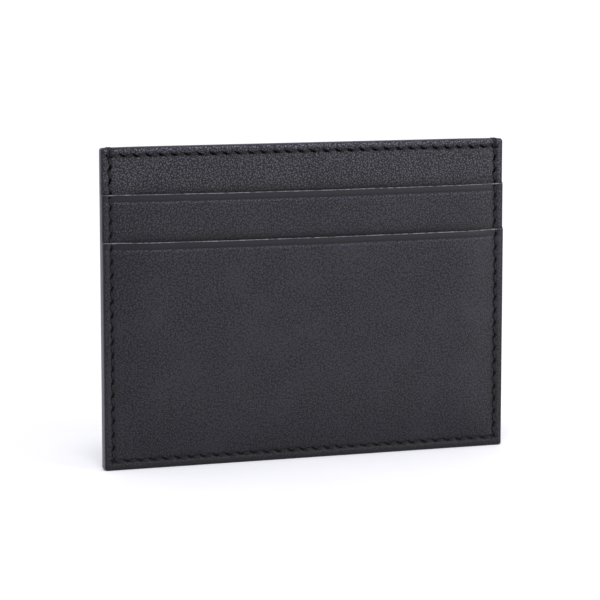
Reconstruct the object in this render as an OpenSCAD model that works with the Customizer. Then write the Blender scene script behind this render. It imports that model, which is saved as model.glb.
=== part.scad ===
// Slim leather card holder: two stacked card pockets on the front and one full-height
// centre pocket that is open at the top. It stands on its long bottom edge.
// X runs along the width, the front faces -Y and Z is up. The origin is the middle of
// the bottom edge, at the middle of the thickness.

/* [Body] */
// Width across the painted side edges
body_w = 100; // [98:1:110]
// Height of the leather, from the painted bottom edge to the painted top edge
body_h = 75; // [74:1:85]
// Radius of the two lower corners
corner_r = 1; // [0.5:0.25:2]

/* [Sheets] */
// Thickness of the front and back leather panels
panel_t = 0.8; // [0.6:0.05:1.2]
// Thickness of the pocket leather and of the skirt under the upper pocket
pocket_t = 0.5; // [0.3:0.05:0.8]
// Thickness of the textile linings of the centre pocket
lining_t = 0.2; // [0.15:0.05:0.4]
// Thickness of the edge paint
paint_t = 0.15; // [0.1:0.05:0.3]
// Depth of the painted channel in the bottom edge, where the inner sheets are cut short
channel = 0.5; // [0.3:0.1:0.8]

/* [Pockets] */
// Distance of the upper pocket's mouth below the top edge
upper_drop = 10.8; // [9:0.1:13]
// Distance of the lower pocket's mouth below the top edge
lower_drop = 21.8; // [19:0.1:25]
// Distance of the leather's lower edge below the lower mouth, on the upper pocket
leather_tuck = 12; // [8:1:16]
// Height at which the cards in the upper pocket stand
upper_floor = 15; // [10:0.5:18]
// Room that each pocket keeps for a card
card_room = 0.9; // [0.8:0.05:1.2]
// Width of the flat border that the seams run in
border_w = 3.4; // [3:0.1:3.8]
// Width of the slope from the border up to the raised middle
slope_w = 2.5; // [2:0.1:3]

/* [Stitching] */
// Distance of the side and bottom seams from the edge
seam_in = 2.1; // [1.6:0.1:2.4]
// Distance of the top seams from the top edge
top_seam_in = 1.9; // [1.4:0.1:2.4]
// Distance from one stitch to the next, which the bottom and top seams fit to their length
pitch = 3.1; // [2.6:0.1:4]
// Length of the thread that shows in one stitch
stitch_len = 2; // [1.5:0.1:2.2]
// Width of the thread
thread_w = 0.5; // [0.3:0.05:0.7]
// Height of the thread above the leather
thread_h = 0.25; // [0.15:0.05:0.4]
// Angle of a stitch to its seam line
slant = 14; // [0:1:25]

/* [Hidden] */
$fn = 32;

// Distance that a cutting shape reaches past what it cuts
past = 1;
half_w = body_w / 2;
leather_top = body_h - paint_t;
upper_mouth = body_h - upper_drop;
lower_mouth = body_h - lower_drop;
leather_end = lower_mouth - leather_tuck;
// Overlap of the skirt and the upper pocket's leather, each at half thickness
lap = 5;

// Reach of the holder in front of and behind the plane between its two linings. That plane
// lies at mid_y, so that Y = 0 is halfway through the whole thickness.
front_depth = lining_t + panel_t + 2 * pocket_t + 2 * card_room;
back_depth = lining_t + panel_t + card_room + thread_h;
mid_y = (front_depth - back_depth) / 2;
// Inner faces of the front panel and the pockets in the border, and the front-most face
y_front_panel = mid_y - lining_t;
y_upper_pocket = y_front_panel - panel_t;
y_lower_pocket = y_upper_pocket - pocket_t;
y_front = y_lower_pocket - pocket_t;
// Inner and outer face of the back panel in the border
y_back_panel = mid_y + lining_t;
y_back = y_back_panel + panel_t;

leather = [0.24, 0.24, 0.26];
lining = [0.13, 0.13, 0.15];
thread = [0.3, 0.3, 0.33];
paint = [0.12, 0.12, 0.14];

// Outline of the holder in X and Z, cut back by inset on both sides
module outline(inset) {
  w = half_w - inset;
  r = corner_r;
  translate([-w, r]) square([2 * w, body_h - r]);
  translate([-w + r, 0]) square([2 * w - 2 * r, 2 * r]);
  for (side = [-1, 1])
    translate([side * (w - r), r]) circle(r);
}

// Plate of the sheets' outline, its faces at depths near_y and far_y, between two heights
module plate(near_y, far_y, low, high) {
  intersection() {
    translate([0, far_y, 0])
      rotate([90, 0, 0])
        linear_extrude(far_y - near_y) outline(paint_t);
    translate([-half_w, near_y - past, low])
      cube([body_w, far_y - near_y + 2 * past, high - low]);
  }
}

// Space in front of the depth base that a pocket swells into. It slopes up from the side
// borders and from the height floor_z, and it is open at the top.
module swell(base, depth, floor_z, low, high) {
  foot = half_w - border_w;
  crest = foot - slope_w;
  intersection() {
    translate([0, base, low])
      linear_extrude(high - low)
        polygon([[-foot, past], [-foot, 0], [-crest, -depth],
                 [crest, -depth], [foot, 0], [foot, past]]);
    translate([-half_w, base, 0])
      rotate([90, 0, 90])
        linear_extrude(body_w)
          polygon([[past, floor_z], [0, floor_z], [-depth, floor_z + slope_w],
                   [-depth, body_h + past], [past, body_h + past]]);
  }
}

// Sheet of thickness t with its inner face at back_y, swollen forwards by depth
module swollen_sheet(back_y, t, depth, floor_z, low, high) {
  difference() {
    union() {
      plate(back_y - t, back_y, low, high);
      swell_skin(back_y - t, depth, floor_z, low, high);
    }
    swell(back_y, depth, floor_z, low - past, high + past);
  }
}

// The part of a swell that lies in front of base only
module swell_skin(base, depth, floor_z, low, high) {
  intersection() {
    swell(base, depth, floor_z, low, high);
    translate([-half_w, base - depth, low])
      cube([body_w, depth, high - low]);
  }
}

// The same sheet swollen backwards
module back_sheet(front_y, t, low, high) {
  mirror([0, 1, 0])
    swollen_sheet(-front_y, t, card_room, border_w, low, high);
}

// One stitch flat on the surface at depth face_y, its thread rising towards the front
module stitch(x, z, angle, face_y) {
  half_l = stitch_len / 2;
  half_t = thread_w / 2;
  translate([x, face_y, z])
    rotate([90, 0, 0])
      rotate(angle)
        linear_extrude(thread_h)
          polygon([[-half_l, 0], [-half_l + half_t, half_t], [half_l - half_t, half_t],
                   [half_l, 0], [half_l - half_t, -half_t], [-half_l + half_t, -half_t]]);
}

// The same stitch on a face that looks backwards
module back_stitch(x, z, angle, face_y) {
  mirror([0, 1, 0]) stitch(x, z, angle, -face_y);
}

// Whole number of stitches between the two side seams, and their distance
across_span = body_w - 2 * seam_in;
across_count = round(across_span / pitch);
across_pitch = across_span / across_count;
across_start = (across_pitch - across_span) / 2;
up_count = floor((leather_top - seam_in) / pitch);
up_start = seam_in + pitch / 2;

// Depth of the front face of the border at the height z, with room for a whole stitch
function border_y(z) =
  z - stitch_len / 2 < lower_mouth ? y_front :
  z - stitch_len / 2 < upper_mouth ? y_lower_pocket : y_upper_pocket;

module side_needle_thread(x) {
  color(thread)
    for (i = [0 : up_count - 1])
      stitch(x, up_start + i * pitch, 90 - slant, border_y(up_start + i * pitch));
}

module side_bobbin_thread(x) {
  color(thread)
    for (i = [0 : up_count - 1])
      back_stitch(x, up_start + i * pitch, 90 - slant, y_back);
}

module top_wrap(x) {
  leg = 2 * thread_w;
  front = y_upper_pocket - thread_h;
  color(thread)
    difference() {
      translate([x - thread_w / 2, front, body_h - leg])
        cube([thread_w, y_back + thread_h - front, leg + thread_h]);
      translate([x - thread_w, y_upper_pocket, body_h - leg - past])
        cube([2 * thread_w, y_back - y_upper_pocket, leg + past]);
    }
}

// Strip of paint on a side edge, between two depths, two heights and two places across
module rim(near_y, far_y, low, high, left, right) {
  intersection() {
    translate([0, far_y, 0])
      rotate([90, 0, 0])
        linear_extrude(far_y - near_y)
          difference() {
            outline(0);
            outline(paint_t);
          }
    translate([left, near_y - past, low])
      cube([right - left, far_y - near_y + 2 * past, high - low]);
  }
}

module side_paint(left, right) {
  color(paint) {
    rim(y_front, y_back, paint_t, lower_mouth, left, right);
    rim(y_lower_pocket, y_back, lower_mouth, upper_mouth, left, right);
    rim(y_upper_pocket, y_back, upper_mouth, leather_top, left, right);
  }
}

module back_panel() {
  color(leather) back_sheet(y_back_panel, panel_t, 0, leather_top);
}

module back_lining() {
  color(lining) back_sheet(mid_y, lining_t, channel, leather_top);
}

module front_lining() {
  color(lining) plate(y_front_panel, mid_y, channel, leather_top);
}

module front_panel() {
  color(leather) plate(y_upper_pocket, y_front_panel, channel, leather_top);
}

module upper_pocket() {
  top = upper_mouth - paint_t;
  thin = pocket_t / 2;
  color(leather) {
    swollen_sheet(y_upper_pocket, pocket_t, card_room, upper_floor, leather_end + lap, top);
    swollen_sheet(y_upper_pocket - thin, thin, card_room, upper_floor,
                  leather_end, leather_end + lap);
  }
}

module upper_pocket_skirt() {
  color(lining) {
    swollen_sheet(y_upper_pocket, pocket_t, card_room, upper_floor, channel, leather_end);
    swollen_sheet(y_upper_pocket, pocket_t / 2, card_room, upper_floor,
                  leather_end, leather_end + lap);
  }
}

module lower_pocket() {
  color(leather)
    swollen_sheet(y_lower_pocket, pocket_t, 2 * card_room, border_w, 0,
                  lower_mouth - paint_t);
}

module skirt_floor_seam() {
  margin = border_w + pitch;
  count = floor((body_w - 2 * margin) / pitch);
  color(thread)
    for (i = [0 : count - 1])
      stitch((i - (count - 1) / 2) * pitch, upper_floor - thread_w, 0, y_lower_pocket);
}

module left_seam_needle_thread() {
  side_needle_thread(-half_w + seam_in);
}

module right_seam_needle_thread() {
  side_needle_thread(half_w - seam_in);
}

module bottom_seam_needle_thread() {
  color(thread)
    for (i = [0 : across_count - 1])
      stitch(across_start + i * across_pitch, seam_in, slant, y_front);
}

module left_seam_bobbin_thread() {
  side_bobbin_thread(-half_w + seam_in);
}

module right_seam_bobbin_thread() {
  side_bobbin_thread(half_w - seam_in);
}

module bottom_seam_bobbin_thread() {
  color(thread)
    for (i = [0 : across_count - 1])
      back_stitch(across_start + i * across_pitch, seam_in, slant, y_back);
}

top_seam_z = body_h - top_seam_in;

module front_top_seam_needle_thread() {
  color(thread)
    for (i = [0 : across_count - 1])
      stitch(across_start + i * across_pitch, top_seam_z, slant, y_upper_pocket);
}

// The stitches of the centre pocket's mouth keep clear of its sloped sides
module front_top_seam_bobbin_thread() {
  color(thread)
    for (i = [2 : across_count - 3])
      back_stitch(across_start + i * across_pitch, top_seam_z, slant, mid_y);
}

module back_top_seam_needle_thread() {
  color(thread)
    for (i = [2 : across_count - 3])
      back_stitch(across_start + i * across_pitch, top_seam_z, slant, y_back + card_room);
}

module back_top_seam_bobbin_thread() {
  color(thread)
    for (i = [2 : across_count - 3])
      stitch(across_start + i * across_pitch, top_seam_z, slant, mid_y + card_room);
}

module left_top_corner_wrap() {
  top_wrap(-half_w + seam_in);
}

module right_top_corner_wrap() {
  top_wrap(half_w - seam_in);
}

module left_edge_paint() {
  side_paint(-half_w, -half_w + corner_r);
}

module right_edge_paint() {
  side_paint(half_w - corner_r, half_w);
}

module bottom_edge_paint() {
  color(paint) plate(y_lower_pocket, y_back_panel, 0, channel);
}

module front_top_edge_paint() {
  color(paint) plate(y_upper_pocket, mid_y, leather_top, body_h);
}

module back_top_edge_paint() {
  color(paint) back_sheet(mid_y, lining_t + panel_t, leather_top, body_h);
}

module upper_mouth_edge_paint() {
  color(paint)
    swollen_sheet(y_upper_pocket, pocket_t, card_room, upper_floor,
                  upper_mouth - paint_t, upper_mouth);
}

module lower_mouth_edge_paint() {
  color(paint)
    swollen_sheet(y_lower_pocket, pocket_t, 2 * card_room, border_w,
                  lower_mouth - paint_t, lower_mouth);
}

back_panel();
back_lining();
front_lining();
front_panel();
upper_pocket();
upper_pocket_skirt();
lower_pocket();
skirt_floor_seam();
left_seam_needle_thread();
right_seam_needle_thread();
bottom_seam_needle_thread();
left_seam_bobbin_thread();
right_seam_bobbin_thread();
bottom_seam_bobbin_thread();
front_top_seam_needle_thread();
front_top_seam_bobbin_thread();
back_top_seam_needle_thread();
back_top_seam_bobbin_thread();
left_top_corner_wrap();
right_top_corner_wrap();
left_edge_paint();
right_edge_paint();
bottom_edge_paint();
front_top_edge_paint();
back_top_edge_paint();
upper_mouth_edge_paint();
lower_mouth_edge_paint();
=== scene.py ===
"""Slim leather card holder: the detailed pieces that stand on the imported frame.

Two stacked card pockets are sewn on the front of a full-height centre pocket. Every sheet is
built flat, in its place in the sewn stack, and then moved by one SewnStack, which knows how the
seams press the leather, how the pockets swell and where the needle holes are. Sizes are in
millimetres, and meshes are written in metres.
"""

import logging
import math
import random
from dataclasses import dataclass, field
from enum import Enum
from typing import Any, Callable, Sequence

import bmesh
import bpy
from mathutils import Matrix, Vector, noise


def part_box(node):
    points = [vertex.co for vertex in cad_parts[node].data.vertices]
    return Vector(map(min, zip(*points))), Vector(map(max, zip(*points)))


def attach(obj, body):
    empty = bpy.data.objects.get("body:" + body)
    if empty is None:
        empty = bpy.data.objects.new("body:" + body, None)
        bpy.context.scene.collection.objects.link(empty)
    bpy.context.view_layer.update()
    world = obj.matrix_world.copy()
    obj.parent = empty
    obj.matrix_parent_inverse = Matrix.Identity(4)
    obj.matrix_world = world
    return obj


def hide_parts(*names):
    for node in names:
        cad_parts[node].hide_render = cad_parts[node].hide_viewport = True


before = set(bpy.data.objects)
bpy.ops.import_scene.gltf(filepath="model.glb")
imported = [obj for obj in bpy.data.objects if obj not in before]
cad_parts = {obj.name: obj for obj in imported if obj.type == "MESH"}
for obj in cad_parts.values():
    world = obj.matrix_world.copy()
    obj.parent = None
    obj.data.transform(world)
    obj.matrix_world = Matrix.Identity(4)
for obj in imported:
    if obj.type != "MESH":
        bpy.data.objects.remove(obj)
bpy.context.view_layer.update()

log = logging.getLogger("card_holder")

MM = 0.001
STITCH_PITCH = 3.1
TOP_CORNER_R = 0.75
REFINE_REACH = 1.25
REFINE_CUTS = 5
BODY = "root"

Point = tuple[float, float, float]
Flat = tuple[float, float]


def clamp(value: float, low: float = 0.0, high: float = 1.0) -> float:
    """Returns value held between low and high."""
    return max(low, min(high, value))


def ease(share: float) -> float:
    """Returns share, held to 0..1, with a soft start and a soft end."""
    t = clamp(share)
    return t * t * (3 - 2 * t)


def bell(distance: float, width: float) -> float:
    """Returns 1 at no distance, falling off smoothly over width."""
    return math.exp(-((distance / width) ** 2))


def signed_power(value: float, power: float) -> float:
    """Returns value raised to a power with its sign kept."""
    return math.copysign(abs(value) ** power, value)


def ladder(stops: Sequence[tuple[float, float]]) -> list[float]:
    """Places grid lines between stops.

    Args:
        stops: Places in rising order, each with the step up to the next one.

    Returns:
        The places of all lines, first and last stop included.
    """
    lines = [stops[0][0]]
    for (low, step), (high, _) in zip(stops, stops[1:]):
        count = max(1, round((high - low) / step))
        lines += [low + (high - low) * (i + 1) / count for i in range(count)]
    return lines


class Side(Enum):
    """The way a face looks: towards the pockets or away from them."""

    FRONT = -1
    BACK = 1


# --------------------------------------------------------------------------- layout


@dataclass(frozen=True)
class Layout:
    """Places of the holder's sheets and seams in millimetres, read from the frame."""

    half_w: float
    leather_half_w: float
    leather_foot: float
    inner_foot: float
    corner_r: float
    top_corner_r: float
    leather_top: float
    upper_mouth: float
    lower_mouth: float
    leather_end: float
    skirt_end: float
    upper_floor: float
    y_front: float
    y_lower: float
    y_upper: float
    y_panel: float
    y_mid: float
    y_back_panel: float
    y_back: float
    upper_depth: float
    lower_depth: float
    back_depth: float
    paint: float
    seam_x: float
    seam_z: float
    top_seam_z: float
    across_count: int
    up_count: int
    up_pitch: float

    @classmethod
    def from_frame(cls) -> "Layout":
        """Reads every place from the CAD nodes' boxes.

        Returns:
            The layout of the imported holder.
        """

        def box(node: str) -> tuple[Point, Point]:
            """Returns a node's two corners in millimetres."""
            low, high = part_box(node)
            return tuple(v / MM for v in low), tuple(v / MM for v in high)

        edge_low, edge_high = box("left_edge_paint")
        panel_low, panel_high = box("front_panel")
        upper_low, lower_low = box("upper_pocket")[0], box("lower_pocket")[0]
        back_high = box("back_panel")[1]
        bottom_low, bottom_high = box("bottom_edge_paint")
        side_low, side_high = box("left_seam_needle_thread")
        foot_low, foot_high = box("bottom_seam_needle_thread")
        top_low, top_high = box("front_top_seam_needle_thread")
        skirt_high = box("upper_pocket_skirt")[1]
        floor_low, floor_high = box("skirt_floor_seam")
        paint = panel_low[0] - edge_low[0]
        seam_x = -(side_low[0] + side_high[0]) / 2
        seam_z = (foot_low[2] + foot_high[2]) / 2
        thread_reach = (foot_low[0] + seam_x) * 2
        span = 2 * seam_x
        return cls(
            half_w=-edge_low[0],
            leather_half_w=panel_high[0],
            leather_foot=paint,
            inner_foot=panel_low[2],
            corner_r=edge_high[0] - edge_low[0],
            top_corner_r=TOP_CORNER_R,
            leather_top=panel_high[2],
            upper_mouth=box("upper_mouth_edge_paint")[1][2],
            lower_mouth=box("lower_mouth_edge_paint")[1][2],
            leather_end=upper_low[2],
            skirt_end=skirt_high[2],
            upper_floor=floor_high[2] + (floor_high[2] - floor_low[2]) / 2,
            y_front=edge_low[1],
            y_lower=bottom_low[1],
            y_upper=panel_low[1],
            y_panel=panel_high[1],
            y_mid=box("front_lining")[1][1],
            y_back_panel=bottom_high[1],
            y_back=edge_high[1],
            upper_depth=bottom_low[1] - upper_low[1],
            lower_depth=edge_low[1] - lower_low[1],
            back_depth=back_high[1] - edge_high[1],
            paint=paint,
            seam_x=seam_x,
            seam_z=seam_z,
            top_seam_z=(top_low[2] + top_high[2]) / 2,
            across_count=round((span - thread_reach) / STITCH_PITCH + 0.3),
            up_count=round((side_high[2] - seam_z) / STITCH_PITCH),
            up_pitch=STITCH_PITCH,
        )


# ---------------------------------------------------------------------------- seams


@dataclass
class Seam:
    """A straight line of lockstitches with slanted needle holes.

    The holes are slits that an angled needle leaves. Their places and angles wander a little,
    the same way in each run.
    """

    name: str
    start: Flat
    along: Flat
    count: int
    pitch: float
    seed: int
    slit_length: float = 1.75
    slit_width: float = 0.38
    slit_angle: float = 19.0
    slit_bow: float = 0.13
    wander: float = 0.07
    groove_ends: float = 1.2
    groove_width: float = 0.62
    holes: list[tuple[float, float, float]] = field(default_factory=list)

    def __post_init__(self) -> None:
        """Draws each hole's place along the seam, its place across it and its angle."""
        draw = random.Random(self.seed)
        for i in range(self.count + 1):
            self.holes.append(
                (
                    i * self.pitch + draw.uniform(-self.wander, self.wander),
                    draw.uniform(-self.wander, self.wander) / 2,
                    math.radians(self.slit_angle + draw.uniform(-5, 5)),
                )
            )

    @property
    def length(self) -> float:
        """Distance from the first hole to the last."""
        return self.count * self.pitch

    def local(self, x: float, z: float) -> Flat:
        """Returns a point's distance along the seam and across it."""
        dx, dz = x - self.start[0], z - self.start[1]
        ax, az = self.along
        return dx * ax + dz * az, dz * ax - dx * az

    def place(self, u: float, v: float) -> Flat:
        """Returns the point at distance u along the seam and v across it."""
        ax, az = self.along
        return self.start[0] + u * ax - v * az, self.start[1] + u * az + v * ax

    def hole(self, x: float, z: float) -> float:
        """Returns how deep in a needle hole a point is, from 0 to 1."""
        u, v = self.local(x, z)
        if abs(v) > self.slit_length or not -1 < u < self.length + 1:
            return 0.0
        u0, v0, angle = self.holes[int(clamp(round(u / self.pitch), 0, self.count))]
        du, dv = u - u0, v - v0
        lengthways = du * math.cos(angle) - dv * math.sin(angle)
        sideways = du * math.sin(angle) + dv * math.cos(angle)
        reach = lengthways / (self.slit_length / 2)
        sideways -= self.slit_bow * (reach * reach - 0.4)
        return math.exp(-(reach**4)) * bell(sideways, self.slit_width / 2)

    def groove(self, x: float, z: float) -> float:
        """Returns how far into the pressed line of the seam a point is, from 0 to 1."""
        u, v = self.local(x, z)
        end = self.groove_ends
        ends = ease((u + end) / end) * ease((self.length + end - u) / end)
        return bell(v, self.groove_width) * ends

    def stitch_ends(self, i: int) -> tuple[Flat, Flat]:
        """Returns the two places, along and across, where stitch i enters the leather."""
        reach = self.slit_length * 0.34
        (u0, v0, a0), (u1, v1, a1) = self.holes[i], self.holes[i + 1]
        return (
            (u0 + reach * math.cos(a0), v0 - reach * math.sin(a0)),
            (u1 - reach * math.cos(a1), v1 + reach * math.sin(a1)),
        )


# ---------------------------------------------------------------------- sewn stack


@dataclass
class SewnStack:
    """Where each point of the flat stack of sheets goes once it is sewn and swollen."""

    lay: Layout
    rise: float = 10.5
    foot: float = 2.75
    groove_depth: float = 0.2
    edge_drop: float = 0.2
    edge_round: float = 0.75
    band_height: float = 0.07
    wave: float = 0.07
    mouth_sag: float = 0.22
    mouth_waver: float = 0.05
    press_reach: float = 6.0
    bead_share: float = 0.75

    def __post_init__(self) -> None:
        """Lays out the four seams."""
        lay = self.lay
        across = 2 * lay.seam_x / lay.across_count
        self.left = Seam(
            "left", (-lay.seam_x, lay.seam_z), (0, 1), lay.up_count, lay.up_pitch, 11
        )
        self.right = Seam(
            "right", (lay.seam_x, lay.seam_z), (0, 1), lay.up_count, lay.up_pitch, 23
        )
        self.bottom = Seam(
            "bottom", (-lay.seam_x, lay.seam_z), (1, 0), lay.across_count, across, 37
        )
        self.top = Seam(
            "top", (-lay.seam_x, lay.top_seam_z), (1, 0), lay.across_count, across, 41
        )

    @property
    def bead_drop(self) -> float:
        """How far the edge beads stand back from the flat faces."""
        return self.edge_drop * self.bead_share

    @property
    def seams(self) -> tuple[Seam, ...]:
        """All seams that go through the outer faces."""
        return self.left, self.right, self.bottom, self.top

    def swell(self, x: float, z: float, floor: float) -> float:
        """Returns how far a pocket with that floor has swollen at a point, from 0 to 1."""
        share = 1.0
        for gap in (self.lay.half_w - abs(x) - self.foot, z - floor):
            share *= 1 - (1 - clamp(gap / self.rise)) ** 2.2
        return share

    def ripple(self, x: float, z: float) -> float:
        """Returns the slow unevenness of the leather at a point."""
        inside = ease((self.lay.half_w - abs(x) - 2) / 9)
        slow = noise.noise(Vector((x / 21, 3.7, z / 16)))
        quick = noise.noise(Vector((x / 8, 9.1, z / 7)))
        return self.wave * inside * (slow + 0.3 * quick)

    def sag(self, x: float) -> float:
        """Returns how far a mouth hangs below its straight line at x."""
        middle = 1 - (x / self.lay.seam_x) ** 2
        waver = self.mouth_waver * noise.noise(Vector((x / 13, 5.3, 0.0)))
        return self.mouth_sag * max(0.0, middle) + waver

    def front_plane(self, z: float) -> float:
        """Returns the depth of the outermost front face of the flat stack at height z."""
        lay = self.lay
        upper = ease((z - lay.lower_mouth) / 0.3)
        panel = ease((z - lay.upper_mouth) / 0.3)
        return (
            lay.y_front
            + upper * (lay.y_lower - lay.y_front)
            + panel * (lay.y_upper - lay.y_lower)
        )

    def hole(self, x: float, z: float) -> float:
        """Returns how deep in any needle hole a point is, from 0 to 1."""
        return max(seam.hole(x, z) for seam in self.seams)

    def pressed(self, x: float, z: float) -> float:
        """Returns how far an outer face is pressed in at a point, needle holes apart.

        Args:
            x: Place across.
            z: Height.

        Returns:
            The distance towards the middle of the stack.
        """
        lay = self.lay
        side = lay.leather_half_w - abs(x)
        low, high = z - lay.leather_foot, lay.leather_top - z
        if min(side, low, high) > self.press_reach:
            return 0.0
        depth = 0.0
        for gap in (side, low, high):
            over = clamp(1 - gap / self.edge_round)
            depth += self.edge_drop * (1 - math.sqrt(1 - over * over))
            depth -= self.band_height * bell(gap - 1.0, 0.55)
        grooves = [seam.groove(x, z) for seam in self.seams]
        return depth + self.groove_depth * max(grooves)

    def shade(self, x: float, z: float, mouths: Sequence[float]) -> float:
        """Returns how dark an outer face is: paint bled over its side and top rims, and painted
        shade along its foot, in the seam grooves and above each pocket mouth.

        Args:
            x: Place across.
            z: Height.
            mouths: Heights of the pocket mouths that lie on this face.

        Returns:
            0 for unshaded leather, up to 1.
        """
        lay = self.lay
        side, top = lay.leather_half_w - abs(x), lay.leather_top - z
        # Paint bleed at the side and top rims; along the foot a painted shade band.
        rim = 0.95 * bell(side, 0.3)
        rim = max(rim, 0.6 * bell(top, 0.1), bell(z - lay.leather_foot, 0.75))
        # Painted shade in the seam grooves.
        groove = max(seam.groove(x, z) for seam in (self.left, self.right))
        groove = max(0.5 * groove, 0.28 * self.bottom.groove(x, z))
        groove = max(groove, 0.2 * self.top.groove(x, z))
        # Painted shadow of each pocket mouth on the leather just above it.
        above = 0.0
        for mouth in mouths:
            gap = z - mouth + self.sag(x)
            if gap > -0.3:
                above = max(above, 0.95 * bell(gap, 0.3), 0.5 * bell(gap, 1.6))
        return clamp(max(rim, groove, above))

    def share_of_press(self, y: float, z: float) -> float:
        """Returns how much of the press reaches depth y, from 0 in the middle to 1."""
        lay = self.lay
        if y <= lay.y_mid:
            return clamp((lay.y_mid - y) / (lay.y_mid - self.front_plane(z)))
        return clamp((y - lay.y_mid) / (lay.y_back - lay.y_mid))

    def face(self, x: float, z: float, y: float, side: Side) -> float:
        """Returns the depth of an outer face at a point, without its needle holes.

        Args:
            x: Place across.
            z: Height.
            y: Depth of that face in the flat stack.
            side: The way the face looks.

        Returns:
            The depth once sewn, with no swelling.
        """
        share = self.share_of_press(y, z)
        pressed = self.pressed(x, z) * share
        return y - side.value * pressed - self.ripple(x, z) * (side is Side.FRONT)


# ------------------------------------------------------------------------ mesh tools


def corner_rounded(x: float, z: float, lay: Layout) -> Flat:
    """Pulls a point of a square corner of the outline onto the rounded one.

    Args:
        x: Place across on the square outline.
        z: Height on the square outline.
        lay: The holder's layout.

    Returns:
        The place on the rounded outline.
    """
    up = 1 if z > lay.leather_top / 2 else -1
    r = (lay.top_corner_r if up > 0 else lay.corner_r) - lay.paint
    cx = lay.leather_half_w - r
    cz = lay.leather_top - r if up > 0 else lay.leather_foot + r
    dx, dz = (abs(x) - cx) / r, (z - cz) * up / r
    if dx <= 0 or dz <= 0:
        return x, z
    reach = max(dx, dz) / math.hypot(dx, dz)
    return math.copysign(cx + dx * reach * r, x), cz + dz * reach * r * up


def grid(columns: Sequence[float], rows: Sequence[float]) -> bmesh.types.BMesh:
    """Makes a flat upright grid with its lines at given places.

    Args:
        columns: Places of the upright lines.
        rows: Heights of the level lines.

    Returns:
        A bmesh whose x is across and whose z is up.
    """
    bm = bmesh.new()
    nx, nz = len(columns) - 1, len(rows) - 1
    bmesh.ops.create_grid(bm, x_segments=nx, y_segments=nz, size=0.5)
    for v in bm.verts:
        i, j = round((v.co.x + 0.5) * nx), round((v.co.y + 0.5) * nz)
        v.co = (columns[i], 0.0, rows[j])
    return bm


def refine(
    bm: bmesh.types.BMesh, axis: int, line: float, low: float, high: float
) -> None:
    """Cuts the long edges near a seam line, so that its needle holes have room to form.

    Args:
        bm: The flat grid.
        axis: 0 for edges that run across, 2 for edges that run up.
        line: Place of the seam on the other axis.
        low: Lowest place along the seam that is refined.
        high: Highest place along the seam that is refined.
    """
    other = 2 - axis
    long_edges = []
    for e in bm.edges:
        a, b = e.verts[0].co, e.verts[1].co
        near = abs((a[other] + b[other]) / 2 - line) < REFINE_REACH
        runs = abs(a[axis] - b[axis]) > 0.5 and abs(a[other] - b[other]) < 1e-6
        if near and runs and low < (a[axis] + b[axis]) / 2 < high:
            long_edges.append(e)
    bmesh.ops.subdivide_edges(bm, edges=long_edges, cuts=REFINE_CUTS)


def thicken(bm: bmesh.types.BMesh) -> bmesh.types.BMLayerItem:
    """Gives a flat sheet a second face and a rim.

    Args:
        bm: The flat grid.

    Returns:
        A layer that is 0 on the near face's points and 1 on the far face's.
    """
    far = bm.verts.layers.float.new("far")
    made = bmesh.ops.extrude_face_region(bm, geom=list(bm.faces), use_keep_orig=True)
    for v in (g for g in made["geom"] if isinstance(g, bmesh.types.BMVert)):
        v[far] = 1.0
        v.co.y += 1.0
    bmesh.ops.recalc_face_normals(bm, faces=list(bm.faces))
    return bm.verts.layers.float["far"]


def rod(
    around: int, along: int
) -> tuple[bmesh.types.BMesh, list[Any], dict[str, Any]]:
    """Makes a straight closed rod whose points know their place on it.

    Args:
        around: Number of faces around.
        along: Number of faces along.

    Returns:
        The bmesh, its elements, and its layers "turn" and "share", from 0 to 1.
    """
    bm = bmesh.new()
    bmesh.ops.create_cone(
        bm,
        cap_ends=True,
        cap_tris=False,
        segments=around,
        radius1=1.0,
        radius2=1.0,
        depth=1.0,
    )
    sides = [e for e in bm.edges if abs(e.verts[0].co.z - e.verts[1].co.z) > 0.5]
    bmesh.ops.subdivide_edges(bm, edges=sides, cuts=along - 1)
    layers = {
        "turn": bm.verts.layers.float.new("turn"),
        "share": bm.verts.layers.float.new("share"),
    }
    uv = bm.loops.layers.uv.new("UVMap")
    for v in bm.verts:
        v[layers["turn"]] = (math.atan2(v.co.y, v.co.x) / math.tau) % 1.0
        v[layers["share"]] = v.co.z + 0.5
    for face in bm.faces:
        turns = [v[layers["turn"]] for v in face.verts]
        wraps = max(turns) - min(turns) > 0.5 and len(turns) == 4
        for loop, turn in zip(face.loops, turns):
            lifted = turn + 1 if wraps and turn < 0.5 else turn
            loop[uv].uv = (loop.vert[layers["share"]], lifted)
    return bm, [*bm.verts, *bm.edges, *bm.faces], layers


def finished(
    name: str,
    bm: bmesh.types.BMesh,
    material: bpy.types.Material,
    nodes: Sequence[str],
    sharp: float = 50.0,
) -> bpy.types.Object:
    """Turns a bmesh in millimetres into a piece that rides on the holder.

    Args:
        name: The piece's name.
        bm: Its shape, which is freed.
        material: Its finish.
        nodes: The CAD nodes it stands for.
        sharp: Edges that turn by more than this many degrees stay crisp.

    Returns:
        The piece, at the origin.
    """
    bmesh.ops.scale(bm, vec=(MM, MM, MM), verts=list(bm.verts))
    for e in bm.edges:
        e.smooth = e.calc_face_angle(0.0) < math.radians(sharp)
    for f in bm.faces:
        f.smooth = True
    mesh = bpy.data.meshes.new(name)
    bm.to_mesh(mesh)
    bm.free()
    mesh.materials.append(material)
    piece = bpy.data.objects.new(name, mesh)
    bpy.context.scene.collection.objects.link(piece)
    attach(piece, BODY)
    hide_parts(*nodes)
    log.info("%s: %d faces", name, len(mesh.polygons))
    return piece


# --------------------------------------------------------------------------- finishes


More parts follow.
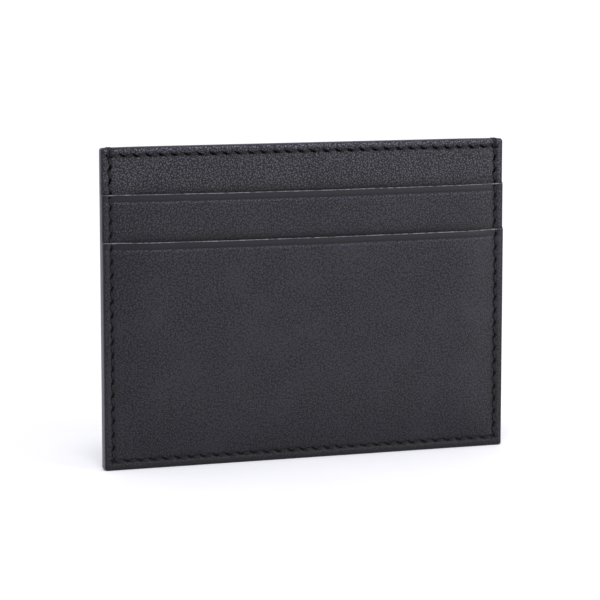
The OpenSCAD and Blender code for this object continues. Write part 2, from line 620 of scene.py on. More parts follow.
def linear(hex_colour: str) -> tuple[float, float, float, float]:
    """Returns an sRGB hex colour as linear red, green and blue, and 1."""
    parts = [int(hex_colour[i : i + 2], 16) / 255 for i in (0, 2, 4)]
    red, green, blue = (
        c / 12.92 if c <= 0.04045 else ((c + 0.055) / 1.055) ** 2.4 for c in parts
    )
    return red, green, blue, 1.0


def per_metre(size_mm: float) -> float:
    """Returns the scale of a pattern whose cells are size_mm across."""
    return 1 / (size_mm * MM)


class NodeKit:
    """A material in the making, with a short way to add each kind of node."""

    def __init__(self, name: str) -> None:
        """Starts a material that has only its coordinates."""
        self.material = bpy.data.materials.new(name)
        self.material.use_nodes = True
        self.tree = self.material.node_tree
        self.tree.nodes.clear()
        self.coordinates = self.add("TexCoord").outputs
        self.where = self.coordinates["Object"]

    def add(self, kind: str, values: dict[Any, Any] | None = None) -> bpy.types.Node:
        """Adds a node.

        Args:
            kind: The node's type, without the start that all types share.
            values: Properties by name and inputs by name or number. Each is a value, or
                the socket that feeds the input.

        Returns:
            The new node.
        """
        node = self.tree.nodes.new(f"ShaderNode{kind}")
        for key, value in (values or {}).items():
            if isinstance(key, str) and hasattr(node, key):
                setattr(node, key, value)
            elif isinstance(value, bpy.types.NodeSocket):
                self.tree.links.new(value, node.inputs[key])
            else:
                node.inputs[key].default_value = value
        return node

    def cloud(
        self, size_mm: float, detail: float, rough: float = 0.5, out: str = "Fac"
    ) -> bpy.types.NodeSocket:
        """Adds a noise.

        Args:
            size_mm: Size of its patches.
            detail: Octaves of finer noise.
            rough: Strength of the finer noise.
            out: Name of the output.

        Returns:
            That output.
        """
        values = {"Scale": per_metre(size_mm), "Detail": detail, "Roughness": rough}
        return self.add("TexNoise", {**values, "Vector": self.where}).outputs[out]

    def remap(
        self, value: Any, low: float, high: float, to_low: float = 0, to_high: float = 1
    ) -> bpy.types.NodeSocket:
        """Returns a value whose range low..high is spread over to_low..to_high."""
        span = {"From Min": low, "From Max": high, "To Min": to_low, "To Max": to_high}
        return self.add("MapRange", {**span, "Value": value}).outputs[0]

    def mix(self, share: Any, first: Any, second: Any) -> bpy.types.NodeSocket:
        """Returns a mix of two numbers."""
        values = {"data_type": "FLOAT", 0: share, 2: first, 3: second}
        return self.add("Mix", values).outputs[0]

    def blend(
        self, share: Any, first: Any, second: Any, mode: str = "MIX"
    ) -> bpy.types.NodeSocket:
        """Returns a mix of two colours."""
        values = {"data_type": "RGBA", "blend_type": mode, 0: share, 6: first, 7: second}
        return self.add("Mix", values).outputs[2]

    def maths(self, operation: str, *values: Any, kind: str = "Math") -> bpy.types.NodeSocket:
        """Returns the result of a sum on numbers, or on vectors for kind VectorMath."""
        return self.add(kind, {"operation": operation, **dict(enumerate(values))}).outputs[0]

    def attribute(self, name: str) -> bpy.types.NodeSocket:
        """Returns a number that the mesh carries at each point."""
        return self.add("Attribute", {"attribute_name": name}).outputs["Fac"]

    def turned(self, vector: Any, *degrees: float) -> bpy.types.NodeSocket:
        """Returns coordinates turned about x, y and z."""
        turn = tuple(math.radians(angle) for angle in degrees)
        return self.add("Mapping", {"Rotation": turn, "Vector": vector}).outputs[0]

    def finish(
        self, colour: Any, settings: dict[str, Any], relief: tuple[Any, float, Any] | None = None
    ) -> bpy.types.Material:
        """Closes the material with its shader.

        Args:
            colour: Socket of the colour.
            settings: The shader's other inputs.
            relief: Height, depth in millimetres and strength of its bump.

        Returns:
            The material.
        """
        inputs = {**settings, "Base Color": colour}
        if relief:
            height, deep, strength = relief
            values = {"Distance": deep * MM, "Strength": strength, "Height": height}
            inputs["Normal"] = self.add("Bump", values).outputs[0]
        shader = self.add("BsdfPrincipled", inputs)
        self.add("OutputMaterial", {"Surface": shader.outputs[0]})
        return self.material


@dataclass(frozen=True)
class CalfLeather:
    """Aniline-dyed calf leather, drum-milled and lightly finished.

    Milling raises a fine pebble, and the hide's matt charcoal varies a little from patch to patch.
    The pebble's valleys are coloured darker and its crowns lighter: partly the hide's own
    colouring, partly painted shade and painted highlight. The colour also grows lighter towards
    the top, a painted light. Pressing by the crease iron and the seams flattens the pebble.
    """

    name: str
    valley: str
    crown: str
    contrast: float
    shadow: str = "08080a"
    painted_pit_shade: str = "010101"
    grain_mm: float = 0.47
    pore_mm: float = 0.36
    patch_mm: float = 9.0
    pull_mm: float = 1.9
    pull_reach_mm: float = 0.75
    relief_mm: float = 0.08
    roughness: float = 0.5
    specular: float = 0.3

    def material(self) -> bpy.types.Material:
        """Builds the leather's nodes."""
        kit = NodeKit(self.name)
        # The hide's growth pulls the pebble out of line, a millimetre or two at a time.
        pull = kit.cloud(self.pull_mm, 2.0, out="Color")
        centred = kit.maths("SUBTRACT", pull, (0.5, 0.5, 0.5), kind="VectorMath")
        reach = {"operation": "SCALE", 0: centred, "Scale": self.pull_reach_mm * MM}
        shift = kit.add("VectorMath", reach).outputs[0]
        warped = kit.maths("ADD", kit.where, shift, kind="VectorMath")
        # The pebble lies in the face of the hide, so its pattern is laid out flat on it.
        cells = {
            "voronoi_dimensions": "2D",
            "feature": "SMOOTH_F1",
            "Scale": per_metre(self.grain_mm),
            "Smoothness": 0.35,
            "Detail": 1.0,
            "Roughness": 0.45,
            "Vector": kit.turned(warped, 90, 0, 0),
        }
        pebble = kit.add("TexVoronoi", cells).outputs["Distance"]
        pores = kit.cloud(self.pore_mm, 3.0, 0.65)
        patches = kit.cloud(self.patch_mm, 3.0)
        smooth, hole, shade = map(kit.attribute, ("pressed", "hole", "shade"))
        # Some patches of the hide are tighter and take hardly any pebble.
        tight = kit.remap(patches, 0.35, 0.65, 0.0, 0.4)
        milled = kit.mix(0.4, kit.remap(pebble, 0.7, 0.08), pores)
        grain = kit.mix(kit.maths("MAXIMUM", smooth, tight), milled, 0.5)
        # Painted shade and painted highlight: the pebble's valleys take the dark colour and its
        # crowns the light one.
        span = 0.34 / self.contrast
        tone = kit.remap(grain, 0.5 - span, 0.5 + span)
        colour = kit.blend(tone, linear(self.valley), linear(self.crown))
        # Patches of the hide take the dye and the milling a little differently.
        patch_tone = kit.remap(patches, 0.25, 0.75, 0.94, 1.06)
        # Painted light: the colour grows lighter towards the top, as if lit from above.
        height = kit.add("SeparateXYZ", {0: kit.where}).outputs["Z"]
        painted_top_light = kit.remap(height, 0.0, 75.0 * MM, 0.78, 1.12)
        patch_tone_and_painted_top_light = kit.maths("MULTIPLY", patch_tone, painted_top_light)
        colour = kit.blend(1.0, colour, patch_tone_and_painted_top_light, "MULTIPLY")
        # Darker where the iron flattened the grain; lighter where the pressed layer is below 0,
        # along the top edge and the lip under each crease: a painted highlight.
        flattened_dark_and_painted_highlight = kit.remap(smooth, -1.8, 0.9, 2.3, 0.35)
        colour = kit.blend(1.0, colour, flattened_dark_and_painted_highlight, "MULTIPLY")
        # Painted shade: the shade layer blends the colour towards the shadow colour, paint bleed
        # at the rims included.
        colour = kit.blend(shade, colour, linear(self.shadow))
        # Painted shade: the needle holes turn near black.
        colour = kit.blend(kit.remap(hole, 0.06, 0.32), colour, linear(self.painted_pit_shade))
        gloss = kit.remap(grain, 0.2, 0.8, self.roughness + 0.12, self.roughness - 0.08)
        strength = kit.remap(patches, 0.3, 0.7, 1.0, 0.45)
        settings = {"IOR": 1.5, "Specular IOR Level": self.specular, "Roughness": gloss}
        return kit.finish(colour, settings, (grain, self.relief_mm, strength))


@dataclass(frozen=True)
class EdgePaint:
    """Acrylic edge paint, rolled on in coats and sanded between them.

    It levels to a satin, faintly wavy skin that is darker than the leather and shows a soft
    line of light along its dome.
    """

    name: str
    colour: str = "1d1c21"
    worn_and_painted_highlight: str = "35333a"
    gleam: str = "e9e2ff"
    run_mm: float = 1.3
    speck_mm: float = 0.22
    relief_mm: float = 0.03
    roughness: float = 0.36
    specular: float = 0.5

    def material(self) -> bpy.types.Material:
        """Builds the paint's nodes."""
        kit = NodeKit(self.name)
        skin = kit.mix(0.35, kit.cloud(self.run_mm, 3.0), kit.cloud(self.speck_mm, 2.0))
        # Worn spots take the second colour; on the mouths' lighter copy it is a painted highlight.
        wear_and_painted_highlight = kit.remap(skin, 0.4, 0.68)
        colour = kit.blend(wear_and_painted_highlight, linear(self.colour), linear(self.worn_and_painted_highlight))
        settings = {
            "IOR": 1.5,
            "Specular IOR Level": self.specular,
            "Specular Tint": linear(self.gleam),
            "Roughness": kit.remap(skin, 0, 1, self.roughness - 0.08, self.roughness + 0.14),
        }
        return kit.finish(colour, settings, (skin, self.relief_mm, 0.7))


@dataclass(frozen=True)
class WaxedThread:
    """Waxed polyester thread, two plies twisted together.

    The twist runs as fine slanted ridges, and the wax leaves a dull gleam on them. The colour is
    darker in the twist's grooves and lighter on its ridges: painted shade and painted highlight.
    """

    name: str
    groove: str = "0c0b0f"
    ridge: str = "26252c"
    turns: float = 3.0
    plies: int = 2
    fibre_mm: float = 0.12
    relief_mm: float = 0.06
    roughness: float = 0.6
    specular: float = 0.2

    def material(self) -> bpy.types.Material:
        """Builds the thread's nodes."""
        kit = NodeKit(self.name)
        parts = kit.add("SeparateXYZ", {0: kit.coordinates["UV"]}).outputs
        around = kit.maths("MULTIPLY", parts["Y"], self.plies * math.tau)
        lay = kit.maths("MULTIPLY_ADD", parts["X"], self.turns * math.tau, around)
        ridge = kit.remap(kit.maths("SINE", lay), -1.0, 1.0)
        height = kit.mix(0.3, ridge, kit.cloud(self.fibre_mm, 2.0))
        # Painted shade in the twist's grooves and painted highlight on its ridges.
        colour = kit.blend(height, linear(self.groove), linear(self.ridge))
        settings = {"Roughness": self.roughness, "Specular IOR Level": self.specular}
        return kit.finish(colour, settings, (height, self.relief_mm, 0.8))


@dataclass(frozen=True)
class TwillLining:
    """Viscose lining, woven as a twill and glued flat.

    Its fine diagonal ribs give a soft silky grey-black with no gloss. The gaps between the ribs
    are coloured darker: painted shade.
    """

    name: str
    gap: str = "0f0f12"
    rib: str = "2b2a30"
    rib_mm: float = 0.35
    rib_angle: float = 52.0
    slub_mm: float = 0.9
    relief_mm: float = 0.05
    roughness: float = 0.75
    sheen: float = 0.15
    specular: float = 0.3

    def material(self) -> bpy.types.Material:
        """Builds the lining's nodes."""
        kit = NodeKit(self.name)
        # At a scale of one, a wave's bands repeat every full turn divided by twenty.
        wave = {
            "bands_direction": "X",
            "Scale": per_metre(self.rib_mm) * math.pi / 10,
            "Distortion": 0.6,
            "Detail": 1.0,
            "Vector": kit.turned(kit.where, 0, self.rib_angle, 0),
        }
        ribs = kit.add("TexWave", wave).outputs["Fac"]
        weave = kit.mix(0.3, ribs, kit.cloud(self.slub_mm, 2.0))
        # Painted shade in the gaps between the ribs.
        colour = kit.blend(weave, linear(self.gap), linear(self.rib))
        settings = {
            "Roughness": self.roughness,
            "Sheen Weight": self.sheen,
            "Specular IOR Level": self.specular,
        }
        return kit.finish(colour, settings, (weave, self.relief_mm, 0.8))


@dataclass(frozen=True)
class PaperSweep:
    """Matt white backdrop paper, with the faint mottle of its pulp."""

    name: str
    low: str = "f4f3f9"
    high: str = "fbfbff"
    mottle_mm: float = 40.0
    roughness: float = 0.9
    specular: float = 0.1

    def material(self) -> bpy.types.Material:
        """Builds the paper's nodes."""
        kit = NodeKit(self.name)
        colour = kit.blend(kit.cloud(self.mottle_mm, 2.0), linear(self.low), linear(self.high))
        settings = {"Roughness": self.roughness, "Specular IOR Level": self.specular}
        return kit.finish(colour, settings)


# ----------------------------------------------------------------------- sub-assemblies


@dataclass
class Sheet:
    """One leather or cloth sheet of the stack."""

    stack: SewnStack
    node: str
    stuff: str
    side: Side
    near: Callable[[float], float]
    far: Callable[[float], float]
    rows: Sequence[float]
    depth: float = 0.0
    floor: float = 0.0
    mouth: float | None = None
    outer_from: float = -1.0
    columns: Sequence[float] = ()
    refine_from: float = 1e9
    refine_lines: Sequence[float] = ()
    crease_drop: float = 1.57
    crease_depth: float = 0.14
    lip_drop: float = 1.98
    slit_share: float = 0.85

    def mouth_press(self, x: float, z: float) -> float:
        """Returns how far the hot crease and the mouth's rounding press the outer face."""
        if self.mouth is None:
            return 0.0
        below = self.mouth - z
        crease = self.crease_depth * bell(below - self.crease_drop, 0.2)
        turned = 0.12 * clamp(1 - below / 0.45) ** 2
        band = 0.03 * bell(below - 0.85, 0.4) + 0.05 * bell(below - self.lip_drop, 0.25)
        ends = ease((self.stack.lay.seam_x - 0.6 - abs(x)) / 1.5)
        return (crease - band) * ends + turned

    def flattening_and_painted_highlight(self, z: float) -> float:
        """Returns how much the iron flattened the grain at height z; below 0 it marks a painted
        highlight along the top edge and on the lip under the crease.
        """
        if self.mouth is None:
            # Painted highlight along the top edge.
            return -1.6 * bell(self.stack.lay.leather_top - z - 0.35, 0.35)
        below = self.mouth - z
        # Darker where the iron flattened the band below the mouth; painted highlight on the lip
        # under the crease.
        return 0.9 * ease((1.8 - below) / 0.3) - 1.3 * bell(below - self.lip_drop, 0.3)

    def darkness(self, x: float, z: float) -> float:
        """Returns the paint bleed and painted shade of the face at a point, from 0 to 1."""
        if z < self.outer_from:
            return 0.0
        lay = self.stack.lay
        fronts = (lay.lower_mouth, lay.upper_mouth) if self.side is Side.FRONT else ()
        mouths = [height for height in fronts if height != self.mouth]
        shade = self.stack.shade(x, z, mouths)
        if self.mouth is None:
            return shade
        # Painted shade in the crease line.
        return max(shade, 0.75 * bell(self.mouth - z - self.crease_drop, 0.14))

    def moved(self, x: float, z: float, far: float) -> tuple[Point, float]:
        """Moves one point of the flat sheet to its sewn place.

        Args:
            x: Place across.
            z: Height.
            far: 0 on the near face, 1 on the far face.

        Returns:
            The sewn place, and how deep in a needle hole it is.
        """
        stack = self.stack
        lay = stack.lay
        y = self.near(z) * (1 - far) + self.far(z) * far
        sign = self.side.value
        outer = far == (1.0 if self.side is Side.BACK else 0.0)
        shows = outer and z >= self.outer_from
        hole = stack.hole(x, z) if shows else 0.0
        press = stack.pressed(x, z) * stack.share_of_press(y, z)
        press += self.slit_share * (self.far(z) - self.near(z)) * hole
        if outer:
            press += self.mouth_press(x, z)
        swollen = self.depth * stack.swell(x, z, self.floor) - press
        height = z
        if self.mouth is not None:
            height -= stack.sag(x) * ease(1 - (self.mouth - z) / 12)
        ripple = stack.ripple(x, z) if self.side is Side.FRONT else 0.0
        x, height = corner_rounded(x, height, lay)
        return (x, y + sign * swollen - ripple, height), hole

    def build(self) -> bmesh.types.BMesh:
        """Builds the sheet.

        Returns:
            The sewn sheet with its "hole", "shade" and "pressed" layers.
        """
        lay = self.stack.lay
        bm = grid(self.columns, self.rows)
        for line in (-lay.seam_x, lay.seam_x):
            refine(bm, 2, line, self.refine_from, self.rows[-1])
        for line in self.refine_lines:
            refine(bm, 0, line, -lay.half_w, lay.half_w)
        far = thicken(bm)
        holes = bm.verts.layers.float.new("hole")
        shades = bm.verts.layers.float.new("shade")
        pressed = bm.verts.layers.float.new("pressed")
        for v in bm.verts:
            x, z = v.co.x, v.co.z
            place, hole = self.moved(x, z, v[far])
            v[holes] = hole
            v[shades] = self.darkness(x, z)
            v[pressed] = self.flattening_and_painted_highlight(z)
            v.co = place
        bmesh.ops.recalc_face_normals(bm, faces=list(bm.faces))
        bm.verts.layers.float.remove(bm.verts.layers.float["far"])
        return bm

    def dress(self, material: bpy.types.Material, slot: str) -> bpy.types.Object:
        """Builds the sheet and gives it its finish.

        Args:
            material: The finish.
            slot: Not used.

        Returns:
            The piece.
        """
        name = f"{self.node}_{self.stuff}"
        return finished(name, self.build(), material, [self.node])


@dataclass
class StitchRow:
    """The thread that shows on one face along one seam."""

    seam: Seam
    name: str
    node: str
    side: Side
    surface: Callable[[float, float], float]
    first: int = 0
    last: int | None = None
    half_width: float = 0.25
    half_height: float = 0.17
    proud: float = 0.17
    dive: float = 0.3

    def stitch_place(self, i: int, share: float, turn: float) -> Point:
        """Places one point of a stitch.

        Args:
            i: Number of the stitch along the seam.
            share: Place along the stitch, from 0 to 1.
            turn: Place around the thread, from 0 to 1.

        Returns:
            The point.
        """
        (u0, v0), (u1, v1) = self.seam.stitch_ends(i)
        x0, z0 = self.seam.place(u0, v0)
        x1, z1 = self.seam.place(u1, v1)
        flat = math.hypot(x1 - x0, z1 - z0)
        out_x, out_z = -(z1 - z0) / flat, (x1 - x0) / flat
        angle = turn * math.tau
        arc = math.sin(math.pi * share) ** 0.5 if 0 < share < 1 else 0.0
        full = 0.72 + 0.28 * arc
        wide = self.half_width * full * math.cos(angle)
        x = x0 + (x1 - x0) * share
        z = z0 + (z1 - z0) * share
        base = self.surface(x0, z0) * (1 - share) + self.surface(x1, z1) * share
        height = -self.dive + (self.dive + self.proud) * arc
        height += self.half_height * full * math.sin(angle)
        return x + out_x * wide, base + self.side.value * height, z + out_z * wide

    def build(self) -> bmesh.types.BMesh:
        """Builds every stitch from one rod.

        Returns:
            All stitches of the row.
        """
        bm, master, layers = rod(around=8, along=7)
        last = self.seam.count - 1 if self.last is None else self.last
        for i in range(self.first, last + 1):
            made = bmesh.ops.duplicate(bm, geom=master)
            for v in (g for g in made["geom"] if isinstance(g, bmesh.types.BMVert)):
                v.co = self.stitch_place(i, v[layers["share"]], v[layers["turn"]])
        old = [g for g in master if isinstance(g, bmesh.types.BMVert)]
        bmesh.ops.delete(bm, geom=old, context="VERTS")
        bmesh.ops.recalc_face_normals(bm, faces=list(bm.faces))
        return bm

    def dress(self, material: bpy.types.Material, slot: str) -> bpy.types.Object:
        """Builds the stitches and gives them their finish."""
        return finished(self.name, self.build(), material, [self.node])


@dataclass
class Overcast:
    """Two turns of thread over a top corner, where a side seam is locked off."""

    stack: SewnStack
    name: str
    node: str
    x: float
    apart: float = 0.62
    half_width: float = 0.26
    half_height: float = 0.18
    stand_off: float = 0.02
    rise: float = 0.1
    leg: float = 1.75
    bend: float = 0.35

    def centre(self, share: float) -> tuple[float, float]:
        """Returns the depth and height of the thread's middle at a share of its way."""
        lay = self.stack.lay
        front = lay.y_upper - self.stand_off
        back = lay.y_back + self.stand_off
        top = lay.leather_top + self.rise
        r = self.bend
        stops = (
            (front + 0.4, top - self.leg - 0.25),
            (front, top - self.leg),
            (front, top - r),
            (front + r * 0.3, top - r * 0.3),
            (front + r, top),
            (back - r, top),
            (back - r * 0.3, top - r * 0.3),
            (back, top - r),
            (back, top - self.leg),
            (back - 0.4, top - self.leg - 0.25),
        )
        at = clamp(share) * (len(stops) - 1)
        i = min(int(at), len(stops) - 2)
        mix = at - i
        (ya, za), (yb, zb) = stops[i], stops[i + 1]
        return ya + (yb - ya) * mix, za + (zb - za) * mix

    def build(self) -> bmesh.types.BMesh:
        """Builds the wrap as two rods over the top edge, side by side.

        Returns:
            The wrap.
        """
        bm, master, layers = rod(around=8, along=27)
        bmesh.ops.duplicate(bm, geom=master)
        first = {g for g in master if isinstance(g, bmesh.types.BMVert)}
        for v in bm.verts:
            beside = self.apart / (-2 if v in first else 2)
            share, angle = v[layers["share"]], v[layers["turn"]] * math.tau
            y, z = self.centre(share)
            y0, z0 = self.centre(share - 0.04)
            y1, z1 = self.centre(share + 0.04)
            long = max(1e-6, math.hypot(y1 - y0, z1 - z0))
            out_y, out_z = -(z1 - z0) / long, (y1 - y0) / long
            high = self.half_height * math.sin(angle)
            v.co = (
                self.x + beside + self.half_width * math.cos(angle),
                y + out_y * high,
                z + out_z * high,
            )
        bmesh.ops.recalc_face_normals(bm, faces=list(bm.faces))
        return bm

    def dress(self, material: bpy.types.Material, slot: str) -> bpy.types.Object:
        """Builds the wrap and gives it its finish."""
        return finished(self.name, self.build(), material, [self.node])


@dataclass
class PaintBead:
    """A rolled bead of edge paint along one edge of the leather."""

    name: str
    node: str
    place: Callable[[float], tuple[float, float, float, float]]
    depths: Callable[[float], tuple[float, float]]
    along: int
    half_height: float = 0.15
    cover: float = 0.02
    around: int = 14

    def build(self) -> bmesh.types.BMesh:
        """Builds the bead as one rod with a flattened round section.

        Returns:
            The bead.
        """
        bm, master, layers = rod(self.around, self.along)
        for v in (g for g in master if isinstance(g, bmesh.types.BMVert)):
            share, angle = v[layers["share"]], v[layers["turn"]] * math.tau
            x, z, out_x, out_z = self.place(share)
            near, far = self.depths(share)
            end = min(share, 1 - share) * self.along
            closed = 0.55 + 0.45 * clamp(end)
            half = ((far - near) / 2 + self.cover) * (0.9 + 0.1 * clamp(end))
            high = self.half_height * closed * signed_power(math.sin(angle), 0.75)
            v.co = (
                x + out_x * high,
                (near + far) / 2 + half * signed_power(math.cos(angle), 0.5),
                z + out_z * high,
            )
        bmesh.ops.recalc_face_normals(bm, faces=list(bm.faces))
        return bm

    def dress(self, material: bpy.types.Material, slot: str) -> bpy.types.Object:
        """Builds the bead and gives it its finish."""
        return finished(self.name, self.build(), material, [self.node], sharp=75)


@dataclass
class SheetWork:
    """The leather and cloth sheets of the holder."""

    stack: SewnStack
    fine: float = 0.18
    coarse: float = 1.03
    seam_band: float = 3.4
    mouth_band: float = 3.1
    mouth_step: float = 0.155

    def columns(self) -> list[float]:
        """Returns the upright grid lines of a leather sheet."""
        w, band = self.stack.lay.leather_half_w, self.seam_band
        return ladder(
            [(-w, self.fine), (-w + band, self.coarse), (w - band, self.fine), (w, 0)]
        )

    def leather_sheets(self) -> list[Sheet]:
        """Returns the front panel, the two pockets and the back panel."""
        stack, lay = self.stack, self.stack.lay
        foot, band, fine, coarse = lay.leather_foot, self.seam_band, self.fine, self.coarse
        top, upper_top = lay.leather_top, lay.upper_mouth - lay.paint
        lower_top = lay.lower_mouth - lay.paint
        columns, half_pocket = self.columns(), (lay.y_upper - lay.y_lower) / 2
        panel_foot, pocket_foot = lay.upper_mouth - 2, lay.lower_mouth - 2
        panel_rows = [(lay.inner_foot, 2.0), (lay.upper_mouth - 2.5, coarse)]
        upper_rows = [(lay.leather_end, 2.5), (lay.skirt_end, 1.3)]
        foot_rows = [(foot, fine), (foot + band, coarse)]
        return [
            Sheet(
                stack,
                "front_panel",
                "leather",
                Side.FRONT,
                near=lambda z: lay.y_upper,
                far=lambda z: lay.y_panel,
                rows=ladder([*panel_rows, (top - band, fine), (top, 0)]),
                columns=columns,
                outer_from=panel_foot,
                refine_from=panel_foot,
                refine_lines=(lay.top_seam_z,),
            ),
            Sheet(
                stack,
                "upper_pocket",
                "leather",
                Side.FRONT,
                near=lambda z: lay.y_lower,
                far=lambda z: (
                    lay.y_upper - half_pocket * (1 - ease((z - lay.skirt_end) / 0.5))
                ),
                rows=ladder([*upper_rows, *self.mouth_rows(upper_top)]),
                columns=columns,
                depth=lay.upper_depth,
                floor=lay.upper_floor,
                mouth=lay.upper_mouth,
                outer_from=pocket_foot,
                refine_from=pocket_foot,
            ),
            Sheet(
                stack,
                "lower_pocket",
                "leather",
                Side.FRONT,
                near=lambda z: lay.y_front,
                far=lambda z: lay.y_lower,
                rows=ladder([*foot_rows, *self.mouth_rows(lower_top)]),
                columns=columns,
                depth=lay.lower_depth,
                floor=stack.foot,
                mouth=lay.lower_mouth,
                outer_from=0.0,
                refine_from=0.0,
                refine_lines=(lay.seam_z,),
            ),
            Sheet(
                stack,
                "back_panel",
                "leather",
                Side.BACK,
                near=lambda z: lay.y_back_panel,
                far=lambda z: lay.y_back,
                rows=ladder([*foot_rows, (top - band, fine), (top, 0)]),
                columns=columns,
                depth=lay.back_depth,
                floor=stack.foot,
                outer_from=0.0,
                refine_from=0.0,
                refine_lines=(lay.seam_z, lay.top_seam_z),
            ),
        ]

    def mouth_rows(self, top: float) -> list[tuple[float, float]]:
        """Returns the fine stops of a pocket's mouth whose leather ends at a height."""
        return [(top - self.mouth_band, self.mouth_step), (top, 0)]

    def cloth_sheets(self) -> list[Sheet]:
        """Returns the centre pocket's two linings and the upper pocket's skirt."""
        stack, lay = self.stack, self.stack.lay
        w, foot, top, end = lay.leather_half_w, lay.inner_foot, lay.leather_top, lay.leather_end
        columns = ladder([(-w, 0.8), (-w + 12, 2.4), (w - 12, 0.8), (w, 0)])
        tall = ladder([(foot, 0.8), (12, 2.4), (top - 3, 0.8), (top, 0)])
        short = ladder([(foot, 2.4), (end - 0.7, 0.2), (end + 0.1, 2.4), (lay.skirt_end, 0)])
        half_pocket = (lay.y_upper - lay.y_lower) / 2
        return [
            Sheet(
                stack,
                "front_lining",
                "cloth",
                Side.FRONT,
                near=lambda z: lay.y_panel,
                far=lambda z: lay.y_mid,
                rows=tall,
                columns=columns,
            ),
            Sheet(
                stack,
                "back_lining",
                "cloth",
                Side.BACK,
                near=lambda z: lay.y_mid,
                far=lambda z: lay.y_back_panel,
                rows=tall,
                columns=columns,
                depth=lay.back_depth,
                floor=stack.foot,
            ),
            Sheet(
                stack,
                "upper_pocket_skirt",
                "cloth",
                Side.FRONT,
                near=lambda z: lay.y_lower + half_pocket * ease((z - end + 0.6) / 0.5),
                far=lambda z: lay.y_upper,
                rows=short,
                columns=columns,
                depth=lay.upper_depth,
                floor=lay.upper_floor,
            ),
        ]

    def build(
        self, leathers: Sequence[bpy.types.Material], cloth: bpy.types.Material
    ) -> None:
        """Builds and dresses every sheet.

        Args:
            leathers: Finish of each leather sheet, from the front panel to the back panel.
            cloth: Finish of the linings.
        """
        for sheet, leather in zip(self.leather_sheets(), leathers):
            sheet.dress(leather, "leather")
        for sheet in self.cloth_sheets():
            piece = sheet.dress(cloth, "lining")


@dataclass
class SeamWork:
    """All thread of the holder."""

    stack: SewnStack

    def surface(
        self, y: float, side: Side, depth: float = 0.0, flat: bool = False
    ) -> Callable[[float, float], float]:
        """Gives the function that finds a face's depth.

        Args:
            y: Depth of the face in the flat stack, or of the outermost one at each height.
            side: The way the face looks.
            depth: How far its sheet swells.
            flat: Whether y holds at every height.

        Returns:
            A function from x and z to the face's depth.
        """
        stack = self.stack

        def found(x: float, z: float) -> float:
            """Returns the face's depth at a point."""
            plane = y if flat else stack.front_plane(z)
            swollen = depth * stack.swell(x, z, stack.foot)
            return stack.face(x, z, plane, side) + side.value * swollen

        return found

    def rows(self) -> list[StitchRow]:
        """Returns one stitch row for each face of each seam."""
        stack, lay = self.stack, self.stack.lay
        front = self.surface(lay.y_front, Side.FRONT)
        back = self.surface(lay.y_back, Side.BACK, flat=True)
        swollen_back = self.surface(lay.y_back, Side.BACK, lay.back_depth, flat=True)

        def row(stem: str, seam: Seam, *rest: Any, **sizes: Any) -> StitchRow:
            """Returns a row that is named after its thread."""
            return StitchRow(seam, f"{stem}_stitches", f"{stem}_thread", *rest, **sizes)

        def inner(x: float, z: float) -> float:
            """Returns the depth of the back lining's face inside the centre pocket."""
            return lay.y_mid + lay.back_depth * stack.swell(x, z, stack.foot)

        rows = []
        for seam in (stack.left, stack.right, stack.bottom):
            rows.append(row(f"{seam.name}_seam_needle", seam, Side.FRONT, front))
            rows.append(row(f"{seam.name}_seam_bobbin", seam, Side.BACK, back))
        top = stack.top
        inside = {"first": 2, "last": top.count - 3, "proud": 0.12}
        rows += [
            row("front_top_seam_needle", top, Side.FRONT, front),
            row("front_top_seam_bobbin", top, Side.BACK, lambda x, z: lay.y_mid, **inside),
            row("back_top_seam_needle", top, Side.BACK, swollen_back),
            row("back_top_seam_bobbin", top, Side.FRONT, inner, **inside),
        ]
        count, start = 28, (-lay.seam_x + 4.0, lay.upper_floor - 0.5)
        floor_seam = Seam("skirt_floor", start, (1, 0), count, (2 * lay.seam_x - 8.0) / count, 53)
        rows.append(
            StitchRow(
                floor_seam,
                "skirt_floor_stitches",
                "skirt_floor_seam",
                Side.FRONT,
                lambda x, z: lay.y_lower - stack.ripple(x, z),
                proud=0.08,
                dive=0.2,
            )
        )
        return rows

    def build(self, thread: bpy.types.Material) -> None:
        """Builds and dresses all thread.

        Args:
            thread: Finish of the thread.
        """
        for row in self.rows():
            row.dress(thread, "thread")
        lay = self.stack.lay
        for name, x in (("left", -lay.seam_x), ("right", lay.seam_x)):
            wrap = Overcast(
                self.stack, f"{name}_top_corner_overcast", f"{name}_top_corner_wrap", x
            )
            wrap.dress(thread, "thread")


